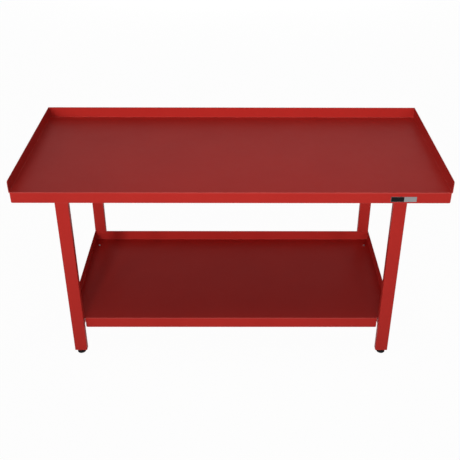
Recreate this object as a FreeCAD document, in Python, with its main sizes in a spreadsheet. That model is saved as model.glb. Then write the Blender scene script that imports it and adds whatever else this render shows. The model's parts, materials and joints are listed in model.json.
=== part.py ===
import FreeCAD, Part
import math
import os
from types import SimpleNamespace

import Sketcher

# Driving sizes of the bench, in millimetres
DRIVING_SIZES = {
    # Worktop: one bent sheet, walls up at the back and ends, lip down at the front
    "top_width": 1626.0,
    "top_depth": 711.0,
    "top_height": 762.0,
    "top_sheet": 2.0,
    "top_wall": 45.0,
    "top_lip": 43.5,
    "bend_radius": 1.5,
    "wall_corner": 7.0,
    "lip_corner": 5.0,
    # Rectangular tube that the legs and rails are cut from
    "leg_width": 50.0,
    "leg_depth": 25.0,
    "tube_wall": 1.6,
    "tube_corner": 2.4,
    # Places of the legs under the worktop
    "end_overhang": 161.0,
    "front_setback": 4.0,
    "rear_setback": 42.0,
    # Lower shelf: a second bent tray between the front and rear legs
    "shelf_height": 161.5,
    "shelf_sheet": 2.0,
    "shelf_wall": 44.5,
    "shelf_lip": 46.5,
    "shelf_lip_gap": 3.0,
    "shelf_leg_gap": 0.5,
    # Hat sections welded under the worktop and the shelf
    "hat_crown": 40.0,
    "hat_depth": 25.0,
    "hat_flange": 20.0,
    "hat_sheet": 1.5,
    "hat_end_gap": 0.5,
    "top_hat_spacing": 240.0,
    # Drill-point screws through the shelf into the lower rails
    "screw_core": 1.8,
    "screw_gap": 0.1,
    "screw_length": 19.0,
    "screw_point": 5.0,
    "screw_flats": 8.0,
    "screw_hex": 3.3,
    "screw_flange_radius": 5.4,
    "screw_flange": 1.0,
    "screw_inset": 58.0,
    # Studs under the worktop, through the upper rails
    "thread_radius": 4.0,
    "stud_hole_gap": 0.5,
    "hex_flats": 13.0,
    "nut_height": 6.5,
    "nut_gap": 0.05,
    "washer_radius": 8.4,
    "washer_thickness": 1.6,
    "washer_gap": 0.3,
    "thread_tip": 3.0,
    "stud_inset": 70.0,
    # Levelling feet: moulded pad, captive stem, nut plate in the leg
    "foot_radius": 17.0,
    "foot_height": 9.5,
    "foot_rim": 3.5,
    "foot_edge": 0.8,
    "foot_neck_radius": 10.5,
    "collar_flats": 17.0,
    "collar_height": 3.5,
    "stem_radius": 5.0,
    "stem_length": 35.0,
    "swivel_neck_radius": 3.5,
    "swivel_neck": 2.5,
    "swivel_flange_radius": 6.0,
    "swivel_flange": 2.5,
    "running_gap": 0.08,
    "nut_plate": 10.0,
    "nut_plate_gap": 0.2,
    # Badge plate near the right end of the worktop's lip
    "badge_width": 95.0,
    "badge_height": 21.0,
    "badge_thickness": 1.0,
    "badge_corner": 2.0,
    "badge_inset": 129.5,
    "badge_drop": 27.0,
}

# A hexagon's circumradius is its width across flats divided by this
FLATS_PER_CIRCUMRADIUS = math.sqrt(3.0)
SIDES = {"left": -1, "right": 1}
# Lengths below this count as none
TINY = 1e-6

doc = FreeCAD.newDocument("steel_workbench")
nodes = []


# A length that carries its number and the formula that ties it to the sheet
class Size:
    def __init__(self, value, formula):
        self.value = value
        self.formula = formula

    def __add__(self, other):
        return Size(self.value + other.value, f"({self.formula} + {other.formula})")

    def __sub__(self, other):
        return Size(self.value - other.value, f"({self.formula} - {other.formula})")

    def __neg__(self):
        return Size(-self.value, f"(-1 * {self.formula})")

    def __mul__(self, number):
        return Size(self.value * number, f"({self.formula} * {number!r})")

    def __truediv__(self, number):
        return Size(self.value / number, f"({self.formula} / {number!r})")


def make_sheet(sizes):
    sheet = doc.addObject("Spreadsheet::Sheet", "Sizes")
    for row, (alias, value) in enumerate(sizes.items(), start=1):
        sheet.set(f"A{row}", alias)
        sheet.set(f"B{row}", str(value))
        sheet.setAlias(f"B{row}", alias)
    doc.recompute()
    return SimpleNamespace(**{alias: Size(value, f"Sizes.{alias}") for alias, value in sizes.items()})


def bind(item, name, size):
    item.setExpression(name, size.formula)


# Places an object at a point given in sizes, turned by a rotation if one is given
def place(item, point, rotation=None):
    numbers = [size.value for size in point]
    item.Placement = FreeCAD.Placement(FreeCAD.Vector(*numbers), rotation or FreeCAD.Rotation())
    for axis, size in zip("xyz", point):
        bind(item, f"Placement.Base.{axis}", size)


def keep(item, label):
    item.Label = label
    nodes.append(item)
    return item


def new_body(label):
    return keep(doc.addObject("PartDesign::Body", label + "_body"), label)


def new_sketch(body, name, role):
    sketch = body.newObject("Sketcher::SketchObject", name)
    planes = [plane for plane in body.Origin.OriginFeatures if plane.Role == role]
    sketch.AttachmentSupport = [(planes[0], "")]
    sketch.MapMode = "FlatFace"
    return sketch


def constrain(sketch, size, kind, *where):
    index = sketch.addConstraint(Sketcher.Constraint(kind, *where, size.value))
    bind(sketch, f"Constraints[{index}]", size)


# Fixes one end or centre of a sketch element at a point measured from the sketch's origin
def fix_point(sketch, element, end, point):
    constrain(sketch, point[0], "DistanceX", -1, 1, element, end)
    constrain(sketch, point[1], "DistanceY", -1, 1, element, end)


def vector(point):
    return FreeCAD.Vector(point[0].value, point[1].value, 0)


# Where the side from a corner to its neighbour starts: past the corner's rounding, if it has one
def side_start(corner, neighbour):
    u, v, radius = corner
    if radius is None:
        return u, v
    point = []
    for here, there in zip((u, v), neighbour):
        step = there.value - here.value
        if abs(step) < TINY:
            point.append(here)
        else:
            point.append(here + radius if step > 0 else here - radius)
    return tuple(point)


# Draws a closed outline through corners (u, v, radius); a round corner has level and upright sides
def trace(sketch, corners):
    elements = []
    for index, corner in enumerate(corners):
        after = corners[(index + 1) % len(corners)]
        start = side_start(corner, corners[index - 1])
        finish = side_start(corner, after)
        next_start = side_start(after, corner)
        if corner[2] is not None:
            elements.append(add_bend(sketch, corner, start, finish))
        if (vector(next_start) - vector(finish)).Length > TINY:
            line = sketch.addGeometry(Part.LineSegment(vector(finish), vector(next_start)), False)
            elements.append((line, 1, 2, finish))
    for index, (element, first_end, _, start) in enumerate(elements):
        previous, _, last_end, _ = elements[index - 1]
        sketch.addConstraint(Sketcher.Constraint("Coincident", previous, last_end, element, first_end))
        fix_point(sketch, element, first_end, start)


# Adds the quarter circle that rounds a corner, and tells which of its ends comes first
def add_bend(sketch, corner, start, finish):
    radius = corner[2]
    centre = vector(start) + vector(finish) - vector(corner)
    outward = vector(start) - centre
    anticlockwise = outward.cross(vector(finish) - centre).z > 0
    if not anticlockwise:
        outward = vector(finish) - centre
    angle = math.atan2(outward.y, outward.x)
    circle = Part.Circle(centre, FreeCAD.Vector(0, 0, 1), radius.value)
    arc = sketch.addGeometry(Part.ArcOfCircle(circle, angle, angle + math.pi / 2), False)
    constrain(sketch, radius, "Radius", arc)
    return (arc, 1, 2, start) if anticlockwise else (arc, 2, 1, start)


def draw_rectangle(sketch, half_width, half_height, radius=None):
    trace(sketch, [
        (-half_width, -half_height, radius),
        (half_width, -half_height, radius),
        (half_width, half_height, radius),
        (-half_width, half_height, radius),
    ])


def draw_circle(sketch, point, radius):
    circle = sketch.addGeometry(Part.Circle(vector(point), FreeCAD.Vector(0, 0, 1), radius.value), False)
    fix_point(sketch, circle, 3, point)
    constrain(sketch, radius, "Radius", circle)


def pad(body, sketch, length, both_ways=False, backwards=False):
    feature = body.newObject("PartDesign::Pad", sketch.Name + "_pad")
    feature.Profile = sketch
    feature.SideType = "Symmetric" if both_ways else "One side"
    feature.Reversed = backwards
    bind(feature, "Length", length)
    doc.recompute()


def cut(body, sketch, length, both_ways=False, backwards=False):
    volume = body.Shape.Volume
    feature = body.newObject("PartDesign::Pocket", sketch.Name + "_cut")
    feature.Profile = sketch
    feature.SideType = "Symmetric" if both_ways else "One side"
    feature.Reversed = backwards
    bind(feature, "Length", length)
    doc.recompute()
    if body.Shape.Volume >= volume:
        raise RuntimeError(f"{body.Label}: {sketch.Name} removes nothing")


def cylinder(name, radius, height, point):
    item = doc.addObject("Part::Cylinder", name)
    bind(item, "Radius", radius)
    bind(item, "Height", height)
    place(item, point)
    return item


# Cone with its point down
def drill_point(name, radius, height, point):
    item = doc.addObject("Part::Cone", name)
    item.Radius1 = 0
    bind(item, "Radius2", radius)
    bind(item, "Height", height)
    place(item, point)
    return item


def hexagon(name, flats, height, point):
    item = doc.addObject("Part::Prism", name)
    item.Polygon = 6
    bind(item, "Circumradius", flats / FLATS_PER_CIRCUMRADIUS)
    bind(item, "Height", height)
    place(item, point)
    return item


def fuse(name, items):
    result = doc.addObject("Part::MultiFuse", name)
    result.Shapes = items
    return result


def drill(name, item, tool):
    result = doc.addObject("Part::Cut", name)
    result.Base = item
    result.Tool = tool
    return result


# Identical fasteners share one node as a group of separate solids
def group(label, items):
    result = doc.addObject("Part::Compound", label + "_group")
    result.Links = items
    return keep(result, label)


s = make_sheet(DRIVING_SIZES)
ZERO = s.top_width * 0

# The badge stands proud of the lip, so the bench lies half its thickness behind the middle
top_mid_y = s.badge_thickness / 2
front_face = top_mid_y - s.top_depth / 2
back_face = top_mid_y + s.top_depth / 2
leg_span = s.top_width - s.end_overhang * 2
leg_x = (leg_span - s.leg_width) / 2
front_leg_y = front_face + s.front_setback + s.leg_depth / 2
rear_leg_y = back_face - s.rear_setback - s.leg_depth / 2
rail_length = rear_leg_y - front_leg_y - s.leg_depth
rail_mid_y = (front_leg_y + rear_leg_y) / 2
leg_bottom = s.foot_height + s.collar_height
top_underside = s.top_height - s.top_sheet
shelf_underside = s.shelf_height - s.shelf_sheet
upper_rail_z = top_underside - s.leg_depth / 2
lower_rail_z = shelf_underside - s.leg_depth / 2
screw_reach_y = rail_length / 2 - s.screw_inset
stud_reach_y = rail_length / 2 - s.stud_inset
screw_hole_radius = s.screw_core + s.screw_gap
stud_hole_radius = s.thread_radius + s.stud_hole_gap
shelf_depth = rail_length - s.shelf_leg_gap * 2
rail_inner_x = leg_span / 2 - s.leg_width


# A bent tray: flat floor at z = 0, walls up at the back and both ends, lip down at the front
def make_tray(label, width, depth, sheet, wall, lip, lip_width):
    body = new_body(label)
    outer_bend = s.bend_radius + sheet
    half_width = width / 2
    half_depth = depth / 2

    floor = new_sketch(body, label + "_floor", "XY_Plane")
    draw_rectangle(floor, half_width - outer_bend, half_depth - outer_bend)
    pad(body, floor, sheet, backwards=True)

    front = new_sketch(body, label + "_front", "YZ_Plane")
    trace(front, [
        (outer_bend - half_depth, ZERO, None),
        (-half_depth, ZERO, outer_bend),
        (-half_depth, -lip, None),
        (sheet - half_depth, -lip, None),
        (sheet - half_depth, -sheet, s.bend_radius),
        (outer_bend - half_depth, -sheet, None),
    ])
    pad(body, front, lip_width, both_ways=True)

    back = new_sketch(body, label + "_back", "YZ_Plane")
    trace(back, wall_outline(half_depth, 1, sheet, wall, outer_bend))
    pad(body, back, width - sheet * 2, both_ways=True)

    ends = new_sketch(body, label + "_ends", "XZ_Plane")
    for side in SIDES.values():
        trace(ends, wall_outline(half_width, side, sheet, wall, outer_bend))
    pad(body, ends, depth, both_ways=True)

    wall_corners = new_sketch(body, label + "_wall_corners", "YZ_Plane")
    trace(wall_corners, corner_outline(-half_depth, wall, s.wall_corner, -1, 1))
    cut(body, wall_corners, width, both_ways=True)

    lip_corners = new_sketch(body, label + "_lip_corners", "XZ_Plane")
    for side in SIDES.values():
        trace(lip_corners, corner_outline(lip_width / 2 * side, -lip, s.lip_corner, side, -1))
    cut(body, lip_corners, depth, both_ways=True)
    return body


# Section of a wall that bends up from the floor's edge, on the positive or negative side
def wall_outline(reach, side, sheet, wall, outer_bend):
    return [
        ((reach - outer_bend) * side, -sheet, None),
        (reach * side, -sheet, outer_bend),
        (reach * side, wall, None),
        ((reach - sheet) * side, wall, None),
        ((reach - sheet) * side, ZERO, s.bend_radius),
        ((reach - outer_bend) * side, ZERO, None),
    ]


# Outline that wraps round a sheet's square corner from outside and rounds it off when cut
def corner_outline(u, v, radius, out_u, out_v):
    reach = radius * 2
    return [
        (u, v - reach * out_v, None),
        (u, v, radius),
        (u - reach * out_u, v, None),
        (u - reach * out_u, v + radius * out_v, None),
        (u + radius * out_u, v + radius * out_v, None),
        (u + radius * out_u, v - reach * out_v, None),
    ]


def make_worktop():
    lip_width = s.top_width - (s.bend_radius + s.top_sheet) * 2
    body = make_tray("worktop", s.top_width, s.top_depth, s.top_sheet, s.top_wall, s.top_lip, lip_width)
    place(body, (ZERO, top_mid_y, s.top_height))


def make_shelf():
    lip_width = (rail_inner_x - s.shelf_lip_gap) * 2
    body = make_tray(
        "lower_shelf", leg_span, shelf_depth, s.shelf_sheet, s.shelf_wall, s.shelf_lip, lip_width)
    holes = new_sketch(body, "lower_shelf_holes", "XY_Plane")
    for side in SIDES.values():
        for end in (-1, 1):
            draw_circle(holes, (leg_x * side, screw_reach_y * end), screw_hole_radius)
    cut(body, holes, s.shelf_sheet)
    place(body, (ZERO, rail_mid_y, s.shelf_height))


# Rectangular tube along its own z, with the wide sides facing the front and back
def make_tube(label, length):
    body = new_body(label)
    section = new_sketch(body, label + "_section", "XY_Plane")
    draw_rectangle(section, s.leg_width / 2, s.leg_depth / 2, s.tube_corner)
    draw_rectangle(
        section,
        s.leg_width / 2 - s.tube_wall,
        s.leg_depth / 2 - s.tube_wall,
        s.tube_corner - s.tube_wall)
    pad(body, section, length)
    return body


# A rail is tube laid flat between the legs, drilled near both ends through its top wall or both walls
def make_rail(label, side, height, hole_inset, hole_radius, both_walls):
    body = make_tube(label, rail_length)
    holes = new_sketch(body, label + "_holes", "XZ_Plane")
    for distance in (hole_inset, rail_length - hole_inset):
        draw_circle(holes, (ZERO, distance), hole_radius)
    cut(body, holes, s.leg_depth * 2, both_ways=both_walls, backwards=True)
    lie_flat = FreeCAD.Rotation(FreeCAD.Vector(1, 0, 0), -90)
    place(body, (leg_x * side, rail_mid_y - rail_length / 2, height), lie_flat)


# Hat section along x: flanges at z = 0, crown below
def make_hat(label, y, z):
    body = new_body(label)
    outer_bend = s.bend_radius + s.hat_sheet
    web = s.hat_crown / 2
    tip = web + s.hat_flange
    section = new_sketch(body, label + "_section", "YZ_Plane")
    outline = [
        (-tip, ZERO, None),
        (-tip, -s.hat_sheet, None),
        (-web, -s.hat_sheet, s.bend_radius),
        (-web, -s.hat_depth, outer_bend),
        (web, -s.hat_depth, outer_bend),
        (web, -s.hat_sheet, s.bend_radius),
        (tip, -s.hat_sheet, None),
        (tip, ZERO, None),
        (web - s.hat_sheet, ZERO, outer_bend),
        (web - s.hat_sheet, s.hat_sheet - s.hat_depth, s.bend_radius),
        (s.hat_sheet - web, s.hat_sheet - s.hat_depth, s.bend_radius),
        (s.hat_sheet - web, ZERO, outer_bend),
    ]
    trace(section, outline)
    pad(body, section, (rail_inner_x - s.hat_end_gap) * 2, both_ways=True)
    place(body, (ZERO, y, z))


# Plate closed into a leg's bottom end, with the hole that carries the foot's thread
def make_nut_plate(label, x, y):
    body = new_body(label)
    gap = s.tube_wall + s.nut_plate_gap
    section = new_sketch(body, label + "_section", "XY_Plane")
    draw_rectangle(section, s.leg_width / 2 - gap, s.leg_depth / 2 - gap, s.tube_corner - s.tube_wall)
    draw_circle(section, (ZERO, ZERO), s.stem_radius + s.running_gap)
    pad(body, section, s.nut_plate)
    place(body, (x, y, leg_bottom))


# Moulded round pad with a cavity that holds the stem's swivel flange
def make_foot_pad(label, x, y):
    body = new_body(label)
    section = new_sketch(body, label + "_section", "XZ_Plane")
    mouth = s.swivel_neck_radius + s.running_gap
    cavity = s.swivel_flange_radius + s.running_gap
    ledge = s.foot_height - s.swivel_neck + s.running_gap
    cavity_floor = s.foot_height - s.swivel_neck - s.swivel_flange - s.running_gap
    trace(section, [
        (ZERO, ZERO, None),
        (s.foot_radius - s.foot_edge, ZERO, None),
        (s.foot_radius, s.foot_edge, None),
        (s.foot_radius, s.foot_rim, None),
        (s.foot_neck_radius, s.foot_height, None),
        (mouth, s.foot_height, None),
        (mouth, ledge, None),
        (cavity, ledge, None),
        (cavity, cavity_floor, None),
        (ZERO, cavity_floor, None),
    ])
    turned = body.newObject("PartDesign::Revolution", label + "_turned")
    turned.Profile = section
    turned.ReferenceAxis = (section, ["V_Axis"])
    turned.Angle = 360.0
    place(body, (x, y, ZERO))


# Threaded stem: shank up into the leg, hex collar under the leg, swivel flange in the pad
def make_foot_stem(label, x, y):
    neck_bottom = s.foot_height - s.swivel_neck
    pieces = [
        cylinder(label + "_shank", s.stem_radius, s.stem_length, (x, y, leg_bottom)),
        hexagon(label + "_collar", s.collar_flats, s.collar_height, (x, y, s.foot_height)),
        cylinder(label + "_neck", s.swivel_neck_radius, s.swivel_neck, (x, y, neck_bottom)),
        cylinder(
            label + "_flange", s.swivel_flange_radius, s.swivel_flange, (x, y, neck_bottom - s.swivel_flange)),
    ]
    keep(fuse(label + "_stem", pieces), label)


def make_washer(name, x, y, z):
    disc = cylinder(name + "_disc", s.washer_radius, s.washer_thickness, (x, y, z))
    hole = cylinder(name + "_hole", s.thread_radius + s.washer_gap, s.washer_thickness, (x, y, z))
    return drill(name, disc, hole)


def make_nut(name, x, y, z):
    block = hexagon(name + "_block", s.hex_flats, s.nut_height, (x, y, z))
    hole = cylinder(name + "_hole", s.thread_radius + s.nut_gap, s.nut_height, (x, y, z))
    return drill(name, block, hole)


# Corners of a fastener pattern, measured from the middle of the end frames
def pattern(reach_y):
    return [(leg_x * side, rail_mid_y + reach_y * end) for side in SIDES.values() for end in (-1, 1)]


# Hex washer head on the shelf floor, shank and drill point inside the rail
def make_shelf_screws():
    tip_z = s.shelf_height - s.screw_length
    hex_z = s.shelf_height + s.screw_flange
    screws = []
    for index, (x, y) in enumerate(pattern(screw_reach_y)):
        screws.append(fuse(f"screw_{index}", [
            drill_point(f"screw_point_{index}", s.screw_core, s.screw_point, (x, y, tip_z)),
            cylinder(
                f"screw_shank_{index}", s.screw_core, s.screw_length - s.screw_point, (x, y, tip_z + s.screw_point)),
            cylinder(f"screw_flange_{index}", s.screw_flange_radius, s.screw_flange, (x, y, s.shelf_height)),
            hexagon(f"screw_hex_{index}", s.screw_flats, s.screw_hex, (x, y, hex_z)),
        ]))
    group("shelf_screws", screws)


def make_top_fasteners():
    washer_z = upper_rail_z - s.leg_depth / 2 - s.washer_thickness
    nut_z = washer_z - s.nut_height
    tip_z = nut_z - s.thread_tip
    studs = []
    washers = []
    nuts = []
    for index, (x, y) in enumerate(pattern(stud_reach_y)):
        studs.append(cylinder(f"stud_{index}", s.thread_radius, top_underside - tip_z, (x, y, tip_z)))
        washers.append(make_washer(f"top_washer_{index}", x, y, washer_z))
        nuts.append(make_nut(f"top_nut_{index}", x, y, nut_z))
    group("top_studs", studs)
    group("top_washers", washers)
    group("top_nuts", nuts)


def make_badge():
    body = new_body("badge_plate")
    outline = new_sketch(body, "badge_outline", "XZ_Plane")
    draw_rectangle(outline, s.badge_width / 2, s.badge_height / 2, s.badge_corner)
    pad(body, outline, s.badge_thickness)
    x = s.top_width / 2 - s.badge_inset - s.badge_width / 2
    place(body, (x, front_face, s.top_height - s.badge_drop))


def make_end_frames():
    for side_name, side in SIDES.items():
        for row, y in (("front", front_leg_y), ("rear", rear_leg_y)):
            corner = f"{row}_{side_name}"
            leg = make_tube(corner + "_leg", top_underside - leg_bottom)
            place(leg, (leg_x * side, y, leg_bottom))
            make_nut_plate(corner + "_nut_plate", leg_x * side, y)
            make_foot_pad(corner + "_foot_pad", leg_x * side, y)
            make_foot_stem(corner + "_foot_stem", leg_x * side, y)
        make_rail(side_name + "_upper_rail", side, upper_rail_z, s.stud_inset, stud_hole_radius, True)
        make_rail(side_name + "_lower_rail", side, lower_rail_z, s.screw_inset, screw_hole_radius, False)


make_worktop()
make_hat("front_top_stiffener", top_mid_y - s.top_hat_spacing / 2, top_underside)
make_hat("rear_top_stiffener", top_mid_y + s.top_hat_spacing / 2, top_underside)
make_end_frames()
make_shelf()
make_hat("shelf_stiffener", rail_mid_y, shelf_underside)
make_shelf_screws()
make_top_fasteners()
make_badge()
doc.recompute()

for item in doc.Objects:
    if "Invalid" in item.State or "Error" in item.State:
        raise RuntimeError(f"{item.Label} failed: {item.State}")
for node in nodes:
    if node.Shape.isNull() or not node.Shape.isValid():
        raise RuntimeError(f"{node.Label} has no valid shape")

os.makedirs("parts", exist_ok=True)
for node in nodes:
    node.Shape.exportStep(f"parts/{node.Label}.step")
    print(node.Label, len(node.Shape.Solids), round(node.Shape.Volume / 1000, 2), "cm3")
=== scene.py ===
import json
import math

import bmesh
import bpy
from mathutils import Euler, Matrix, Vector


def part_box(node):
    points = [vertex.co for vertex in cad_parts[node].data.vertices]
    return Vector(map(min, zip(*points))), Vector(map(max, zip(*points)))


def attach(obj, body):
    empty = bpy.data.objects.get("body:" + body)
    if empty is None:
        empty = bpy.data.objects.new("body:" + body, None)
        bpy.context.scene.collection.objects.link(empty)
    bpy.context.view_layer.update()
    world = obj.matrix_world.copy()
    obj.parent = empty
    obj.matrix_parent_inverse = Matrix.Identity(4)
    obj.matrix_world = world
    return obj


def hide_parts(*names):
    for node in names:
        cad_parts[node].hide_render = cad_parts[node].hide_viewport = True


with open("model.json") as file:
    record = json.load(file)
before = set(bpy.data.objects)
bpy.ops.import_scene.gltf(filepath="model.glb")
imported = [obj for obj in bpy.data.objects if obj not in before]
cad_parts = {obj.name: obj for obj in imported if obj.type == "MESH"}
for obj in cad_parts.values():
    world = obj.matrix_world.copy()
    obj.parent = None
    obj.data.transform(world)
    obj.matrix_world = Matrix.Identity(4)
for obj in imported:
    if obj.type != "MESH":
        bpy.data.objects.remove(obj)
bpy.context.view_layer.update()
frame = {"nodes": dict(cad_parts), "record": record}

nodes = frame["nodes"]
mm = 0.001
corners = ["front_left", "front_right", "rear_left", "rear_right"]
print("frame loaded:", len(nodes), "nodes")


# colours

def linearColor(hexColor):
    values = [int(hexColor[i:i + 2], 16) / 255 for i in (1, 3, 5)]
    return [v / 12.92 if v <= 0.04045 else ((v + 0.055) / 1.055) ** 2.4 for v in values] + [1.0]


# one node with its settings and the links that feed it
def addNode(tree, kind, settings=None, links=None):
    node = tree.nodes.new(kind)
    for key, value in (settings or {}).items():
        if isinstance(key, str) and hasattr(node, key):
            setattr(node, key, value)
        else:
            node.inputs[key].default_value = value
    for key, source in (links or {}).items():
        tree.links.new(source, node.inputs[key])
    return node


# a mix node's colour sockets, by number because their names repeat
mixFirst, mixSecond, mixResult = 6, 7, 2


# a fresh material with its shader and its object coordinates
def newFinish(name):
    finish = bpy.data.materials.new(name)
    finish.use_nodes = True
    tree = finish.node_tree
    tree.nodes.clear()
    shader = addNode(tree, "ShaderNodeBsdfPrincipled")
    addNode(tree, "ShaderNodeOutputMaterial", links={"Surface": shader.outputs["BSDF"]})
    place = addNode(tree, "ShaderNodeTexCoord").outputs["Object"]
    return finish, tree, shader, place


# noise scale for a pattern whose cells are that many millimetres wide
def perMetre(cellMm):
    return 1 / (cellMm * mm)


# red powder coat: polyester powder baked on steel sheet. Satin, evenly coloured, with a faint
# cloudiness, an orange peel skin, a paler line at sharp edges that is part thin coat and part painted
# highlight, and a painted highlight along the bends
coatLook = {
    "red": "#bc302a", "deepRed": "#b22a25", "wornAndHighlightRed": "#d66f69",
    "cloudMm": 180, "patchMm": 35, "peelMm": 7, "peelDepthMm": 0.14, "peelStrength": 0.35,
    "edgeMm": 2.0, "edgeLean": (0.99, 0.80), "edgeWearHighlightShare": 0.9, "bendHighlightShare": 0.38,
    "roughness": (0.40, 0.50), "specular": 0.07,
}


def makeRedPowderCoat(look):
    finish, tree, shader, place = newFinish("redPowderCoat")
    cloud = addNode(tree, "ShaderNodeTexNoise", {
        "Scale": perMetre(look["cloudMm"]), "Detail": 3.0, "Roughness": 0.5}, {"Vector": place})
    body = addNode(tree, "ShaderNodeMix", {
        "data_type": "RGBA", mixFirst: linearColor(look["red"]), mixSecond: linearColor(look["deepRed"])}, {
        "Factor": cloud.outputs["Fac"]})
    # the coat pulls back from sharp edges, and the pale line there is made stronger as a painted highlight:
    # the rounded normal leaves the flat one there
    rounded = addNode(tree, "ShaderNodeBevel", {"samples": 4, "Radius": look["edgeMm"] * mm})
    flat = addNode(tree, "ShaderNodeNewGeometry")
    along = addNode(tree, "ShaderNodeVectorMath", {"operation": "DOT_PRODUCT"}, {
        0: rounded.outputs["Normal"], 1: flat.outputs["Normal"]})
    edgeWearAndHighlight = addNode(tree, "ShaderNodeMapRange", {
        "From Min": look["edgeLean"][0], "From Max": look["edgeLean"][1],
        "To Min": 0.0, "To Max": look["edgeWearHighlightShare"]}, {"Value": along.outputs["Value"]})
    patches = addNode(tree, "ShaderNodeTexNoise", {
        "Scale": perMetre(look["patchMm"]), "Detail": 4.0}, {"Vector": place})
    edge = addNode(tree, "ShaderNodeMath", {"operation": "MULTIPLY"}, {
        0: edgeWearAndHighlight.outputs["Result"], 1: patches.outputs["Fac"]})
    # a painted highlight along the long bends, where the sheet turns from lying to facing the front: the
    # normal's rise and lean, both squared and multiplied, give 0 on the flats and 0.25 halfway round a bend
    normal = addNode(tree, "ShaderNodeSeparateXYZ", links={0: flat.outputs["Normal"]}).outputs
    rise = addNode(tree, "ShaderNodeMath", {"operation": "MULTIPLY"}, {0: normal["Z"], 1: normal["Z"]})
    lean = addNode(tree, "ShaderNodeMath", {"operation": "MULTIPLY"}, {0: normal["Y"], 1: normal["Y"]})
    fold = addNode(tree, "ShaderNodeMath", {"operation": "MULTIPLY"}, {
        0: rise.outputs["Value"], 1: lean.outputs["Value"]})
    bendHighlightMask = addNode(tree, "ShaderNodeMapRange", {
        "From Min": 0.0, "From Max": 0.25, "To Min": 0.0, "To Max": look["bendHighlightShare"]}, {
        "Value": fold.outputs["Value"]})
    edgeWearPlusBendHighlight = addNode(tree, "ShaderNodeMath", {"operation": "MAXIMUM"}, {
        0: edge.outputs["Value"], 1: bendHighlightMask.outputs["Result"]})
    # the paler red carries both the thin coat at sharp edges and the painted highlights on edges and bends
    colour = addNode(tree, "ShaderNodeMix", {"data_type": "RGBA", mixSecond: linearColor(look["wornAndHighlightRed"])}, {
        "Factor": edgeWearPlusBendHighlight.outputs["Value"], mixFirst: body.outputs[mixResult]})
    tree.links.new(colour.outputs[mixResult], shader.inputs["Base Color"])
    # orange peel, drawn coarser than the real 2 to 3 mm so that it shows
    peel = addNode(tree, "ShaderNodeTexNoise", {
        "Scale": perMetre(look["peelMm"]), "Detail": 2.0}, {"Vector": place})
    sheen = addNode(tree, "ShaderNodeMapRange", {
        "To Min": look["roughness"][0], "To Max": look["roughness"][1]}, {"Value": patches.outputs["Fac"]})
    tree.links.new(sheen.outputs["Result"], shader.inputs["Roughness"])
    skin = addNode(tree, "ShaderNodeBump", {
        "Strength": look["peelStrength"], "Distance": look["peelDepthMm"] * mm}, {
        "Height": peel.outputs["Fac"]})
    tree.links.new(skin.outputs["Normal"], shader.inputs["Normal"])
    shader.inputs["Specular IOR Level"].default_value = look["specular"]
    return finish


# zinc plate: bright passivated steel. Cool grey metal, blotched and slightly dull where it was handled
zincLook = {
    "bright": "#c3c8cb", "dull": "#8f979c", "blotchMm": 3.5, "roughness": (0.26, 0.46),
    "grainMm": 0.6, "grainDepthMm": 0.02, "grainStrength": 0.25,
}


def makeZincPlate(look):
    finish, tree, shader, place = newFinish("zincPlate")
    blotch = addNode(tree, "ShaderNodeTexNoise", {
        "Scale": perMetre(look["blotchMm"]), "Detail": 5.0, "Roughness": 0.6}, {"Vector": place})
    colour = addNode(tree, "ShaderNodeMix", {
        "data_type": "RGBA", mixFirst: linearColor(look["bright"]), mixSecond: linearColor(look["dull"])}, {
        "Factor": blotch.outputs["Fac"]})
    tree.links.new(colour.outputs[mixResult], shader.inputs["Base Color"])
    sheen = addNode(tree, "ShaderNodeMapRange", {
        "To Min": look["roughness"][0], "To Max": look["roughness"][1]}, {"Value": blotch.outputs["Fac"]})
    tree.links.new(sheen.outputs["Result"], shader.inputs["Roughness"])
    # plating grain, drawn far coarser than the real one so that it shows close up
    grain = addNode(tree, "ShaderNodeTexNoise", {
        "Scale": perMetre(look["grainMm"]), "Detail": 1.0}, {"Vector": place})
    skin = addNode(tree, "ShaderNodeBump", {
        "Strength": look["grainStrength"], "Distance": look["grainDepthMm"] * mm}, {
        "Height": grain.outputs["Fac"]})
    tree.links.new(skin.outputs["Normal"], shader.inputs["Normal"])
    shader.inputs["Metallic"].default_value = 1.0
    return finish


# black nylon: injection moulded polyamide. Near black and dull, with a spark-eroded grain and grey scuffs
nylonLook = {
    "black": "#0d0d0f", "scuff": "#1c1c1e", "scuffMm": 9, "scuffFrom": (0.5, 0.8),
    "roughness": (0.50, 0.68), "specular": 0.2,
    "grainMm": 0.9, "grainDepthMm": 0.05, "grainStrength": 0.4,
}


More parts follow.
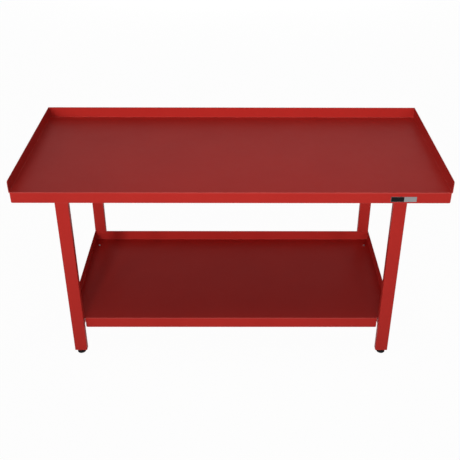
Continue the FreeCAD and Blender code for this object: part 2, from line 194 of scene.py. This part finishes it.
def makeBlackNylon(look):
    finish, tree, shader, place = newFinish("mouldedBlackNylon")
    scuff = addNode(tree, "ShaderNodeTexNoise", {
        "Scale": perMetre(look["scuffMm"]), "Detail": 6.0, "Roughness": 0.65}, {"Vector": place})
    rubbed = addNode(tree, "ShaderNodeMapRange", {
        "From Min": look["scuffFrom"][0], "From Max": look["scuffFrom"][1]}, {"Value": scuff.outputs["Fac"]})
    colour = addNode(tree, "ShaderNodeMix", {
        "data_type": "RGBA", mixFirst: linearColor(look["black"]), mixSecond: linearColor(look["scuff"])}, {
        "Factor": rubbed.outputs["Result"]})
    tree.links.new(colour.outputs[mixResult], shader.inputs["Base Color"])
    sheen = addNode(tree, "ShaderNodeMapRange", {
        "To Min": look["roughness"][0], "To Max": look["roughness"][1]}, {"Value": scuff.outputs["Fac"]})
    tree.links.new(sheen.outputs["Result"], shader.inputs["Roughness"])
    # moulded grain, drawn coarser than the real 0.2 mm so that it shows close up
    grain = addNode(tree, "ShaderNodeTexNoise", {
        "Scale": perMetre(look["grainMm"]), "Detail": 2.0}, {"Vector": place})
    skin = addNode(tree, "ShaderNodeBump", {
        "Strength": look["grainStrength"], "Distance": look["grainDepthMm"] * mm}, {
        "Height": grain.outputs["Fac"]})
    tree.links.new(skin.outputs["Normal"], shader.inputs["Normal"])
    shader.inputs["Specular IOR Level"].default_value = look["specular"]
    return finish


# brushed aluminium: sanded lengthwise. Light grey metal with long fine streaks
aluminiumLook = {
    "light": "#aeadae", "dark": "#858586", "roughness": (0.30, 0.48),
    "streakMm": 0.7, "stretch": 40, "streakDepthMm": 0.02, "streakStrength": 0.2,
}


def makeBrushedAluminium(look):
    finish, tree, shader, place = newFinish("brushedAluminium")
    # brush streaks, drawn coarser than the real 0.1 mm so that they show
    drawn = addNode(tree, "ShaderNodeMapping", {"Scale": (1 / look["stretch"], 1, 1)}, {"Vector": place})
    streak = addNode(tree, "ShaderNodeTexNoise", {
        "Scale": perMetre(look["streakMm"]), "Detail": 3.0}, {"Vector": drawn.outputs["Vector"]})
    colour = addNode(tree, "ShaderNodeMix", {
        "data_type": "RGBA", mixFirst: linearColor(look["light"]), mixSecond: linearColor(look["dark"])}, {
        "Factor": streak.outputs["Fac"]})
    tree.links.new(colour.outputs[mixResult], shader.inputs["Base Color"])
    sheen = addNode(tree, "ShaderNodeMapRange", {
        "To Min": look["roughness"][0], "To Max": look["roughness"][1]}, {"Value": streak.outputs["Fac"]})
    tree.links.new(sheen.outputs["Result"], shader.inputs["Roughness"])
    skin = addNode(tree, "ShaderNodeBump", {
        "Strength": look["streakStrength"], "Distance": look["streakDepthMm"] * mm}, {
        "Height": streak.outputs["Fac"]})
    tree.links.new(skin.outputs["Normal"], shader.inputs["Normal"])
    shader.inputs["Metallic"].default_value = 1.0
    return finish


# black enamel: paint baked into the badge's sunk field. Half glossy, with a faint waviness
enamelLook = {
    "black": "#0b0c0d", "grey": "#131416", "roughness": 0.38, "specular": 0.10,
    "waveMm": 6, "waveDepthMm": 0.05, "waveStrength": 0.15,
}


def makeBlackEnamel(look):
    finish, tree, shader, place = newFinish("blackEnamel")
    wave = addNode(tree, "ShaderNodeTexNoise", {
        "Scale": perMetre(look["waveMm"]), "Detail": 3.0}, {"Vector": place})
    colour = addNode(tree, "ShaderNodeMix", {
        "data_type": "RGBA", mixFirst: linearColor(look["black"]), mixSecond: linearColor(look["grey"])}, {
        "Factor": wave.outputs["Fac"]})
    tree.links.new(colour.outputs[mixResult], shader.inputs["Base Color"])
    skin = addNode(tree, "ShaderNodeBump", {
        "Strength": look["waveStrength"], "Distance": look["waveDepthMm"] * mm}, {
        "Height": wave.outputs["Fac"]})
    tree.links.new(skin.outputs["Normal"], shader.inputs["Normal"])
    shader.inputs["Roughness"].default_value = look["roughness"]
    shader.inputs["Specular IOR Level"].default_value = look["specular"]
    return finish


finishes = {
    "red_powder_coat": makeRedPowderCoat(coatLook),
    "zinc_plate": makeZincPlate(zincLook),
    "black_nylon": makeBlackNylon(nylonLook),
    "badge": makeBrushedAluminium(aluminiumLook),
}
blackEnamel = makeBlackEnamel(enamelLook)

for row in frame["record"]["subparts"]:
    for holder in nodes[row["node"]].material_slots:
        holder.material = finishes[row["material_slot"]]
print("finishes set")


# modelling

smoothBelow = math.radians(32)  # faces that meet at less are shaded as one


def selectOnly(*pieces):
    bpy.ops.object.select_all(action="DESELECT")
    for piece in pieces:
        piece.select_set(True)
    bpy.context.view_layer.objects.active = pieces[0]


# selects the faces of the edited piece that pass the test
def pickFaces(piece, test):
    mesh = bmesh.from_edit_mesh(piece.data)
    bpy.ops.mesh.select_all(action="DESELECT")
    for face in mesh.faces:
        face.select_set(test(face))
    mesh.select_flush_mode()
    bmesh.update_edit_mesh(piece.data)


def editPiece(piece):
    selectOnly(piece)
    bpy.ops.object.mode_set(mode="EDIT")
    bpy.ops.mesh.select_mode(type="FACE")


def closeEdit():
    bpy.ops.mesh.select_all(action="SELECT")
    bpy.ops.mesh.remove_doubles(threshold=0.001 * mm)
    bpy.ops.mesh.normals_make_consistent(inside=False)
    bpy.ops.object.mode_set(mode="OBJECT")


def useModifier(piece, kind, **settings):
    selectOnly(piece)
    step = piece.modifiers.new(kind.lower(), kind)
    for key, value in settings.items():
        setattr(step, key, value)
    bpy.ops.object.modifier_apply(modifier=step.name)


# pulls the picked face up by a step and turns it to a new radius about the z axis
def pullTo(step, radius, oldRadius, height):
    bpy.ops.mesh.extrude_region_move(TRANSFORM_OT_translate={"value": (0, 0, step)})
    factor = radius / oldRadius
    bpy.ops.transform.resize(value=(factor, factor, 1), center_override=(0, 0, height))


# a turned solid: rings of (radius, height) pulled up one from another, both ends closed
def turned(rings, sides):
    radius, height = rings[0]
    bpy.ops.object.select_all(action="DESELECT")
    bpy.ops.mesh.primitive_circle_add(
        vertices=sides, radius=radius, fill_type="NGON", location=(0, 0, height))
    piece = bpy.context.object
    bpy.ops.object.transform_apply(location=True, rotation=False, scale=False)
    editPiece(piece)
    bpy.ops.mesh.select_all(action="SELECT")
    for nextRadius, nextHeight in rings[1:]:
        pullTo(nextHeight - height, nextRadius, radius, nextHeight)
        radius, height = nextRadius, nextHeight
    bpy.ops.mesh.select_all(action="SELECT")
    bpy.ops.mesh.fill_holes(sides=0)
    closeEdit()
    return piece


# hexagons: the radius of the turned ends as a share of the flats, the angle in degrees, and how far the
# blank that cuts them stays clear of the corners and runs past the ends, so that no two faces share a plane
hexTurning = {
    "endRadius": 0.475, "angle": 30, "clear": 1.001, "past": 0.2 * mm,
    "plainClear": 1.01, "plainPast": 1 * mm, "sides": 48,
}


# a hexagon prism with its corners turned off at one or both ends, one corner towards x
def hexBlock(flats, height, bottom, turnedBelow=True):
    corner = flats / math.sqrt(3)
    end = flats * hexTurning["endRadius"]
    wide = corner * hexTurning["clear"]
    past = hexTurning["past"]
    fall = (corner - end) * math.tan(math.radians(hexTurning["angle"]))
    tip = end - past * (wide - end) / fall
    bpy.ops.object.select_all(action="DESELECT")
    bpy.ops.mesh.primitive_cylinder_add(
        vertices=6, radius=corner, depth=height, location=(0, 0, bottom + height / 2),
        rotation=(0, 0, math.pi / 6))
    block = bpy.context.object
    bpy.ops.object.transform_apply(location=True, rotation=True, scale=True)
    if turnedBelow:
        rings = [(tip, bottom - past), (wide, bottom + fall)]
    else:
        rings = [(corner * hexTurning["plainClear"], bottom - hexTurning["plainPast"])]
    rings += [(wide, bottom + height - fall), (tip, bottom + height + past)]
    blank = turned(rings, hexTurning["sides"])
    useModifier(block, "BOOLEAN", operation="INTERSECT", object=blank, solver="EXACT")
    bpy.data.objects.remove(blank)
    return block


# threads: depth, flank and land as shares of the pitch, and the spare turns that are cut off at an end
threadForm = {"depth": 0.61, "flank": 0.38, "land": 0.12, "spare": 2, "steps": 28}


# a threaded rod: one pitch of profile wound up, its ends cut flat
def threadedRod(major, pitch, bottom, top):
    minor = major - threadForm["depth"] * pitch
    flank, land, spare = threadForm["flank"], threadForm["land"], threadForm["spare"]
    bpy.ops.object.select_all(action="DESELECT")
    bpy.ops.mesh.primitive_plane_add(size=1)
    rod = bpy.context.object
    editPiece(rod)
    bpy.ops.mesh.select_mode(type="VERT")
    bpy.ops.mesh.select_all(action="SELECT")
    bpy.ops.mesh.merge(type="CENTER")
    bpy.ops.transform.translate(value=(minor, 0, bottom - spare * pitch))
    for out, up in ((major - minor, flank), (0, land), (minor - major, flank), (0, land)):
        bpy.ops.mesh.extrude_region_move(TRANSFORM_OT_translate={"value": (out, 0, up * pitch)})
    bpy.ops.object.mode_set(mode="OBJECT")
    useModifier(
        rod, "SCREW", angle=2 * math.pi, screw_offset=pitch,
        steps=threadForm["steps"], render_steps=threadForm["steps"],
        iterations=math.ceil((top - bottom) / pitch) + 2 * spare,
        use_merge_vertices=True, merge_threshold=0.01 * mm)
    editPiece(rod)
    for height, normal in ((bottom, (0, 0, 1)), (top, (0, 0, -1))):
        bpy.ops.mesh.select_all(action="SELECT")
        bpy.ops.mesh.bisect(
            plane_co=(0, 0, height), plane_no=normal, use_fill=True, clear_inner=True,
            threshold=0.0001 * mm)
    closeEdit()
    return rod


def joined(*pieces):
    selectOnly(*pieces)
    bpy.ops.object.join()
    return bpy.context.object


# copies of a finished shape, each with its own mesh, at their places
def copiesAt(source, places):
    made = []
    for place in places:
        twin = source.copy()
        twin.data = source.data.copy()
        bpy.context.scene.collection.objects.link(twin)
        twin.matrix_world = place
        made.append(twin)
    selectOnly(*made)
    bpy.ops.object.transform_apply(location=True, rotation=True, scale=True)
    return made


# names a finished piece, gives it its finish and hands it to a body
def settle(piece, name, body, slot, *stoodFor, finish=None):
    piece.name = name
    piece.data.name = name
    piece.data.materials.clear()
    piece.data.materials.append(finish or finishes[slot])
    selectOnly(piece)
    bpy.ops.object.shade_smooth_by_angle(angle=smoothBelow)
    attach(piece, body)
    if stoodFor:
        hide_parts(*stoodFor)


# a copy of the shape under each leg, in place of the node there
def settleUnderLegs(shape, nodeEnd, nameEnd, bodyEnd, slot):
    for corner in corners:
        node = corner + nodeEnd
        low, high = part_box(node)
        place = Matrix.Translation(((low.x + high.x) / 2, (low.y + high.y) / 2, 0))
        piece = copiesAt(shape, [place])[0]
        settle(piece, corner + nameEnd, corner + bodyEnd, slot, node)
    bpy.data.objects.remove(shape)


# places of four equal round fasteners that share a node and reach the sides of its box
def fourPlaces(node, radius):
    low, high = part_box(node)
    return [Matrix.Translation((x, y, 0)) for x in (low.x + radius, high.x - radius)
            for y in (low.y + radius, high.y - radius)]


# foot stems: rolled M10 thread, chamfered hex collar, neck and flange that turn in the pad

stem = {
    "radius": 5 * mm, "pitch": 1.5 * mm, "threadBottom": 13 * mm, "threadTop": 48 * mm,
    "collarFlats": 17 * mm, "collarBottom": 9.5 * mm, "collarHeight": 3.5 * mm, "overlap": 0.05 * mm,
    # radius and height of the flange and of the neck, which runs a little into the collar
    "neck": [(6 * mm, 4.5 * mm), (6 * mm, 7 * mm), (3.5 * mm, 7 * mm), (3.5 * mm, 9.55 * mm)],
    "neckSides": 32,
}
stemShape = joined(
    threadedRod(stem["radius"], stem["pitch"], stem["threadBottom"] - stem["overlap"], stem["threadTop"]),
    hexBlock(stem["collarFlats"], stem["collarHeight"], stem["collarBottom"]),
    turned(stem["neck"], stem["neckSides"]))
settleUnderLegs(stemShape, "_foot_stem", "ThreadedStem", "_screw", "zinc_plate")
print("threaded stems made")


# foot pads: moulded nylon, fluted rim, coned top, cavity for the stem's flange

pad = {
    "sides": 72, "radius": 17 * mm, "edge": 0.8 * mm, "rim": 3.5 * mm, "shoulder": (0.6 * mm, 0.7 * mm),
    "neckRadius": 10.5 * mm, "neckEdge": (0.5 * mm, 0.3 * mm), "height": 9.5 * mm,
    "mouth": 3.58 * mm, "ledge": 7.08 * mm, "cavity": 6.08 * mm, "cavityFloor": 4.42 * mm,
    "fluteStep": 3, "fluteDepth": 0.45 * mm, "fluteEdge": 0.15 * mm, "rimSlack": 0.1 * mm,
}
padShape = turned([
    (pad["radius"] - pad["edge"], 0), (pad["radius"], pad["edge"]), (pad["radius"], pad["rim"]),
    (pad["radius"] - pad["shoulder"][0], pad["rim"] + pad["shoulder"][1]),
    (pad["neckRadius"] + pad["neckEdge"][0], pad["height"] - pad["neckEdge"][1]),
    (pad["neckRadius"], pad["height"]),
    (pad["mouth"], pad["height"]), (pad["mouth"], pad["ledge"]),
    (pad["cavity"], pad["ledge"]), (pad["cavity"], pad["cavityFloor"])], pad["sides"])


# the rim's faces that become flutes
def isFlute(face):
    onRim = math.hypot(*face.calc_center_median().xy) > pad["radius"] - pad["rimSlack"]
    angle = math.degrees(math.atan2(face.normal.y, face.normal.x)) % 360
    return onRim and int(angle / (360 / pad["sides"])) % pad["fluteStep"] == 0


editPiece(padShape)
pickFaces(padShape, isFlute)
bpy.ops.mesh.inset(thickness=pad["fluteEdge"], use_individual=True)
bpy.ops.transform.shrink_fatten(value=-pad["fluteDepth"])
closeEdit()
settleUnderLegs(padShape, "_foot_pad", "MouldedPad", "_foot", "black_nylon")
print("moulded pads made")


# shelf screws: hex washer head, plain shank, drill point

screw = {
    "flange": 5.4 * mm, "flangeHeight": 1.1 * mm, "edge": 0.15 * mm, "rimShare": 0.6, "flangeSides": 36,
    "flats": 8 * mm, "headHeight": 4.3 * mm, "sink": 0.2 * mm,
    "core": 1.8 * mm, "point": 5 * mm, "tip": 0.2 * mm, "coreSides": 20,
}
low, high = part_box("shelf_screws")
headBottom = high.z - screw["headHeight"]
flangeTop = headBottom + screw["flangeHeight"]
hexBottom = flangeTop - screw["sink"]
screwShape = joined(
    turned([
        (screw["flange"] - screw["edge"], headBottom), (screw["flange"], headBottom + screw["edge"]),
        (screw["flange"] - screw["edge"], headBottom + screw["rimShare"] * screw["flangeHeight"]),
        (screw["flats"] / 2, flangeTop)], screw["flangeSides"]),
    hexBlock(screw["flats"], high.z - hexBottom, hexBottom, turnedBelow=False),
    turned([
        (screw["tip"], low.z), (screw["core"], low.z + screw["point"]),
        (screw["core"], headBottom + screw["sink"])], screw["coreSides"]))
piece = joined(*copiesAt(screwShape, fourPlaces("shelf_screws", screw["flange"])))
settle(piece, "shelfScrews", "frame", "zinc_plate", "shelf_screws")
bpy.data.objects.remove(screwShape)
print("shelf screws made")


# top studs and nuts: welded M8 studs, chamfered nuts

stud = {
    "radius": 4 * mm, "pitch": 1.25 * mm, "nutFlats": 13 * mm,
    "bore": 4.05 * mm, "boreChamfer": 0.8 * mm, "borePast": 0.2 * mm, "boreSides": 32,
}
studPlaces = fourPlaces("top_studs", stud["radius"])
low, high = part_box("top_studs")
studShape = threadedRod(stud["radius"], stud["pitch"], low.z, high.z)
piece = joined(*copiesAt(studShape, studPlaces))
settle(piece, "topStuds", "frame", "zinc_plate", "top_studs")
bpy.data.objects.remove(studShape)
low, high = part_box("top_nuts")
nutShape = hexBlock(stud["nutFlats"], high.z - low.z, low.z)
wide = stud["bore"] + stud["boreChamfer"]
past = stud["borePast"]
bore = turned([
    (wide, low.z - past), (stud["bore"], low.z + stud["boreChamfer"] - past),
    (stud["bore"], high.z - stud["boreChamfer"] + past), (wide, high.z + past)], stud["boreSides"])
useModifier(nutShape, "BOOLEAN", operation="DIFFERENCE", object=bore, solver="EXACT")
bpy.data.objects.remove(bore)
piece = joined(*copiesAt(nutShape, studPlaces))
settle(piece, "topNuts", "frame", "zinc_plate", "top_nuts")
bpy.data.objects.remove(nutShape)
print("studs and nuts made")


# weld beads: laid in ripples, then coated with the rest

weld = {"sides": 10, "ripple": 2.4 * mm, "fewest": 3, "swell": 0.18, "endShare": 0.35}


# a bead that stands on end, its middle at the origin: every second ring is drawn in
def makeBead(radius, length):
    count = max(weld["fewest"], round(length / weld["ripple"]))
    rings = [(radius * weld["endShare"], -length / 2)]
    for i in range(2 * count + 1):
        swell = 1 if i % 2 else 1 - weld["swell"]
        rings.append((radius * swell, -length / 2 + length * (i + 0.5) / (2 * count + 2)))
    rings.append((radius * weld["endShare"], length / 2))
    return turned(rings, weld["sides"])


alongX = Matrix.Rotation(math.pi / 2, 4, "Y")

# rails to legs: a fillet under each rail end, and a seam up both its sides
railWeld = {
    "fillet": 3.2 * mm, "filletClear": 8 * mm,
    "seam": 2.4 * mm, "seamClear": 6 * mm, "seamIn": 2.2 * mm, "seamOut": 1 * mm,
}
filletPlaces = []
seamPlaces = []
for rail in ("left_upper_rail", "right_upper_rail", "left_lower_rail", "right_lower_rail"):
    low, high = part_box(rail)
    for y, out in ((low.y, -1), (high.y, 1)):
        filletPlaces.append(Matrix.Translation(((low.x + high.x) / 2, y, low.z)) @ alongX)
        for x, side in ((low.x, 1), (high.x, -1)):
            seamPlaces.append(Matrix.Translation((
                x + side * railWeld["seamIn"], y + out * railWeld["seamOut"], (low.z + high.z) / 2)))
low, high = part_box("left_lower_rail")
fillet = makeBead(railWeld["fillet"], high.x - low.x - railWeld["filletClear"])
seam = makeBead(railWeld["seam"], high.z - low.z - railWeld["seamClear"])
piece = joined(*copiesAt(fillet, filletPlaces), *copiesAt(seam, seamPlaces))
settle(piece, "railWelds", "frame", "red_powder_coat")
bpy.data.objects.remove(fillet)
bpy.data.objects.remove(seam)

# stiffeners to sheets: short stitches along both flange edges
stitch = {"radius": 1.9 * mm, "length": 32 * mm, "count": 5, "reach": 520 * mm, "below": 0.4 * mm}
stitchShape = makeBead(stitch["radius"], stitch["length"])
for node in ("front_top_stiffener", "rear_top_stiffener", "shelf_stiffener"):
    low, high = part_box(node)
    places = []
    for y in (low.y, high.y):
        for i in range(stitch["count"]):
            x = stitch["reach"] * (2 * i / (stitch["count"] - 1) - 1)
            places.append(Matrix.Translation((x, y, high.z - stitch["below"])) @ alongX)
    piece = joined(*copiesAt(stitchShape, places))
    settle(piece, node + "Stitches", "frame", "red_powder_coat")
bpy.data.objects.remove(stitchShape)

# tray corners: a thin dressed seam inside both rear corners
traySeam = {
    "radius": 1.7 * mm, "sheet": 2 * mm, "clear": 3 * mm,
    "walls": {"worktop": 45 * mm, "lower_shelf": 44.5 * mm},
}
for node, wall in traySeam["walls"].items():
    low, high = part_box(node)
    seam = makeBead(traySeam["radius"], wall - traySeam["clear"])
    places = [Matrix.Translation((x, high.y - traySeam["sheet"], high.z - wall / 2))
              for x in (low.x + traySeam["sheet"], high.x - traySeam["sheet"])]
    piece = joined(*copiesAt(seam, places))
    settle(piece, node + "CornerSeams", "frame", "red_powder_coat")
    bpy.data.objects.remove(seam)
print("welds made")


# badge plate: bare brushed plate whose left half is a sunk black field

badge = {
    "split": 0.52, "border": 0.6 * mm, "sunk": 0.35 * mm, "round": 1.8 * mm, "roundSteps": 5,
    "fill": 0.25 * mm, "fillEdge": 0.3 * mm, "fillSwell": 0.05 * mm,
}
low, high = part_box("badge_plate")
splitX = low.x + (high.x - low.x) * badge["split"]
bpy.ops.object.select_all(action="DESELECT")
bpy.ops.mesh.primitive_cube_add(size=1, location=(low + high) / 2)
plate = bpy.context.object
plate.scale = high - low
bpy.ops.object.transform_apply(location=True, rotation=True, scale=True)
editPiece(plate)
mesh = bmesh.from_edit_mesh(plate.data)
bpy.ops.mesh.select_mode(type="EDGE")
bpy.ops.mesh.select_all(action="DESELECT")
for edge in mesh.edges:  # the four short edges through the plate
    across = edge.verts[0].co - edge.verts[1].co
    edge.select_set(abs(across.y) > (high.y - low.y) / 2)
bmesh.update_edit_mesh(plate.data)
bpy.ops.mesh.bevel(offset=badge["round"], segments=badge["roundSteps"])
bpy.ops.mesh.select_all(action="SELECT")
bpy.ops.mesh.bisect(plane_co=(splitX, 0, 0), plane_no=(1, 0, 0))
bpy.ops.mesh.select_mode(type="FACE")
# the front face left of the split
pickFaces(plate, lambda face: face.normal.y < -0.9 and face.calc_center_median().x < splitX)
bpy.ops.mesh.inset(thickness=badge["border"])
bpy.ops.mesh.extrude_region_move(TRANSFORM_OT_translate={"value": (0, badge["sunk"], 0)})
bpy.ops.mesh.duplicate_move(TRANSFORM_OT_translate={"value": (0, 0, 0)})
bpy.ops.mesh.separate(type="SELECTED")
field = [piece for piece in bpy.context.selected_objects if piece != plate][0]
closeEdit()
editPiece(field)
bpy.ops.mesh.select_all(action="SELECT")
bpy.ops.mesh.extrude_region_move(TRANSFORM_OT_translate={"value": (0, -badge["fill"], 0)})
bpy.ops.mesh.inset(thickness=badge["fillEdge"])
bpy.ops.transform.translate(value=(0, -badge["fillSwell"], 0))
bpy.ops.mesh.select_all(action="SELECT")
bpy.ops.mesh.fill_holes(sides=0)
closeEdit()
settle(plate, "badgePlate", "frame", "badge", "badge_plate")
settle(field, "badgeField", "frame", "badge", finish=blackEnamel)
print("badge made")


# floor, light and camera

studio = {
    "floorWidth": 60, "floor": "#f4f4f2", "floorGlow": 0.97, "ambient": 0.23,
    # name, watts, width and height, place, what it points at, spread in degrees, shows in reflections
    "lamps": [
        ("keySoftbox", 35, (0.8, 1.2), (-1.66, -8.5, 1.9), (0, 0, 2.3), 45, False),
        ("fillSoftbox", 9, (0.8, 1.2), (2.1, -8.5, 1.9), (0, 0, 2.3), 45, False),
        ("sideSoftbox", 9, (0.8, 1.2), (-4.1, -8.5, 1.9), (0, 0, 2.3), 45, False),
        ("topSoftbox", 1.6, (1.8, 1.4), (0.2, -0.36, 4.2), (0.2, -0.36, 0.7), 30, True),
        ("backSoftbox", 110, (4.0, 0.6), (0, 6.5, 0.6), (0, 0, 0.5), 180, False),
    ],
}


# 1 where a ray comes from the camera, a reflection or a clear piece
def seenDirectly(tree):
    path = addNode(tree, "ShaderNodeLightPath")
    first = addNode(tree, "ShaderNodeMath", {"operation": "MAXIMUM"}, {
        0: path.outputs["Is Camera Ray"], 1: path.outputs["Is Glossy Ray"]})
    both = addNode(tree, "ShaderNodeMath", {"operation": "MAXIMUM"}, {
        0: first.outputs["Value"], 1: path.outputs["Is Transmission Ray"]})
    return both.outputs["Value"]


bpy.ops.object.select_all(action="DESELECT")
bpy.ops.mesh.primitive_plane_add(size=studio["floorWidth"], location=(0, 0, 0))
floor = bpy.context.object
floor.name = "paleFloor"
paper = bpy.data.materials.new("palePaper")
paper.use_nodes = True
tree = paper.node_tree
tree.nodes.clear()
matt = addNode(tree, "ShaderNodeBsdfDiffuse", {"Color": linearColor(studio["floor"])})
glow = addNode(tree, "ShaderNodeEmission", {"Color": (1, 1, 1, 1), "Strength": 1.0})
share = addNode(tree, "ShaderNodeMath", {"operation": "MULTIPLY", 1: studio["floorGlow"]}, {
    0: seenDirectly(tree)})
blend = addNode(tree, "ShaderNodeMixShader", None, {
    0: share.outputs["Value"], 1: matt.outputs["BSDF"], 2: glow.outputs["Emission"]})
addNode(tree, "ShaderNodeOutputMaterial", None, {"Surface": blend.outputs["Shader"]})
floor.data.materials.append(paper)

world = bpy.data.worlds.new("softStudio")
bpy.context.scene.world = world
world.use_nodes = True
tree = world.node_tree
tree.nodes.clear()
level = addNode(tree, "ShaderNodeMapRange", {
    "To Min": studio["ambient"], "To Max": 1.0}, {"Value": seenDirectly(tree)})
sky = addNode(tree, "ShaderNodeBackground", {"Color": (1, 1, 1, 1)}, {"Strength": level.outputs["Result"]})
addNode(tree, "ShaderNodeOutputWorld", None, {"Surface": sky.outputs["Background"]})


def addLamp(name, watts, size, place, aim, spread, mirrored):
    lamp = bpy.data.lights.new(name, "AREA")
    lamp.shape = "RECTANGLE"
    lamp.energy = watts
    lamp.spread = math.radians(spread)
    lamp.size, lamp.size_y = size
    stand = bpy.data.objects.new(name, lamp)
    bpy.context.scene.collection.objects.link(stand)
    stand.location = place
    stand.rotation_euler = (Vector(aim) - Vector(place)).to_track_quat("-Z", "Y").to_euler()
    stand.visible_camera = False
    stand.visible_glossy = mirrored


for lamp in studio["lamps"]:
    addLamp(*lamp)

# angles in radians, lens and sensor in millimetres, shift as a share of the picture's width
view = {
    "place": (14.231 * mm, -2759.19 * mm, 2062.75 * mm),
    "turn": -0.0050, "down": 0.5458, "roll": 0.0034, "lens": 58.43, "sensor": 36, "shift": -0.0174,
}
lens = bpy.data.cameras.new("photoCamera")
lens.lens = view["lens"]
lens.sensor_width = view["sensor"]
lens.shift_x = view["shift"]
camera = bpy.data.objects.new("photoCamera", lens)
bpy.context.scene.collection.objects.link(camera)
aim = Euler((math.pi / 2 - view["down"], 0, view["turn"])).to_matrix().to_4x4()
camera.matrix_world = Matrix.Translation(view["place"]) @ aim @ Matrix.Rotation(view["roll"], 4, "Z")
bpy.context.scene.camera = camera
bpy.context.scene.view_settings.view_transform = "Standard"
print("studio set")
